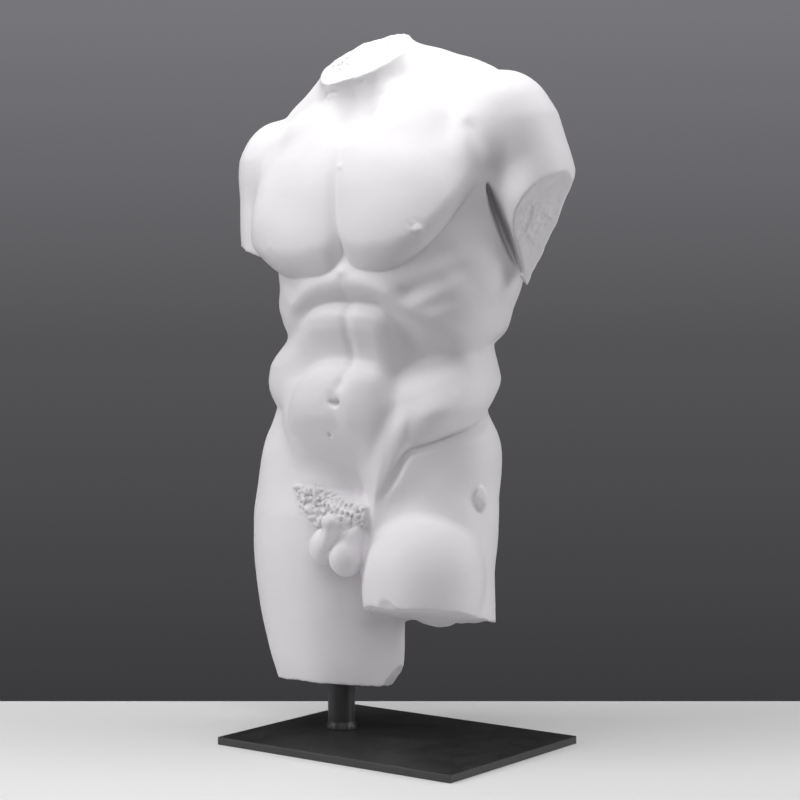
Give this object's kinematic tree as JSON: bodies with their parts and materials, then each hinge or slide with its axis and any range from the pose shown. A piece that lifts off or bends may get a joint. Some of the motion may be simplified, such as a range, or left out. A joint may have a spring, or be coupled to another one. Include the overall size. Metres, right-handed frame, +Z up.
{
  "type": "marble torso sculpture",
  "caption": "Fragment of a standing nude male torso in white stone, broken off through the neck, arms and thighs, held up on a round steel post rising from a flat rectangular plate.",
  "frame": {"origin": "middle of the underside of the base plate, on the surface it stands on", "axes": "+Z up, +X to the figure's own left, -Y to the front of the chest"},
  "size_m": [0.4515, 0.254, 0.8245],
  "materials": {
    "marble": "matt, finely dressed stone",
    "black_metal": "satin black"
  },
  "bodies": {
    "root": {"torso": "marble", "post": "black_metal", "base_plate": "black_metal"}
  },
  "joints": []
}
